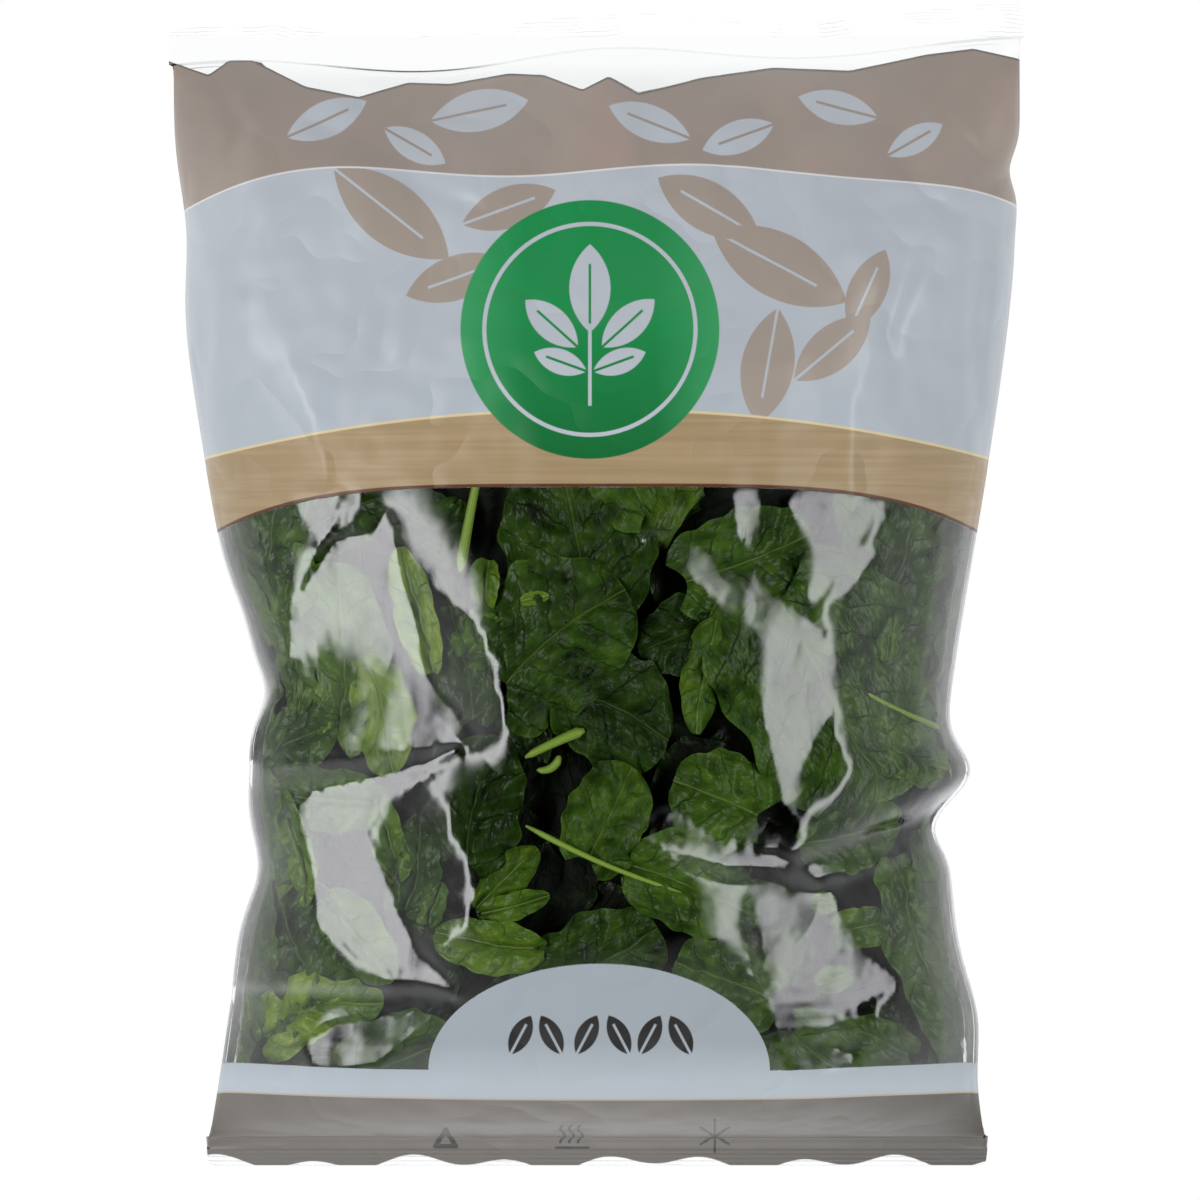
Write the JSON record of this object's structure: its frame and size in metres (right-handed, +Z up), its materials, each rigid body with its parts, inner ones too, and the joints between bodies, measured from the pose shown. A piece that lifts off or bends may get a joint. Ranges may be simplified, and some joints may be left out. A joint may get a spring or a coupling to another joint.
{
  "type": "bag of spinach",
  "caption": "Sealed clear film pillow bag filled with washed spinach leaves, lying on its back, with printed bands above and below a clear window.",
  "frame": {"origin": "on the table, under the middle of the bag's outline", "axes": "+X across the bag to its right as its face is seen, +Y along it to the top seal, +Z up through its printed face"},
  "size_m": [0.291, 0.4, 0.0958],
  "materials": {
    "filled_bag": "gloss",
    "film": "gloss",
    "leaf": "satin",
    "stalk": "satin"
  },
  "bodies": {
    "root": {"filled_bag": "filled_bag"}
  },
  "joints": []
}
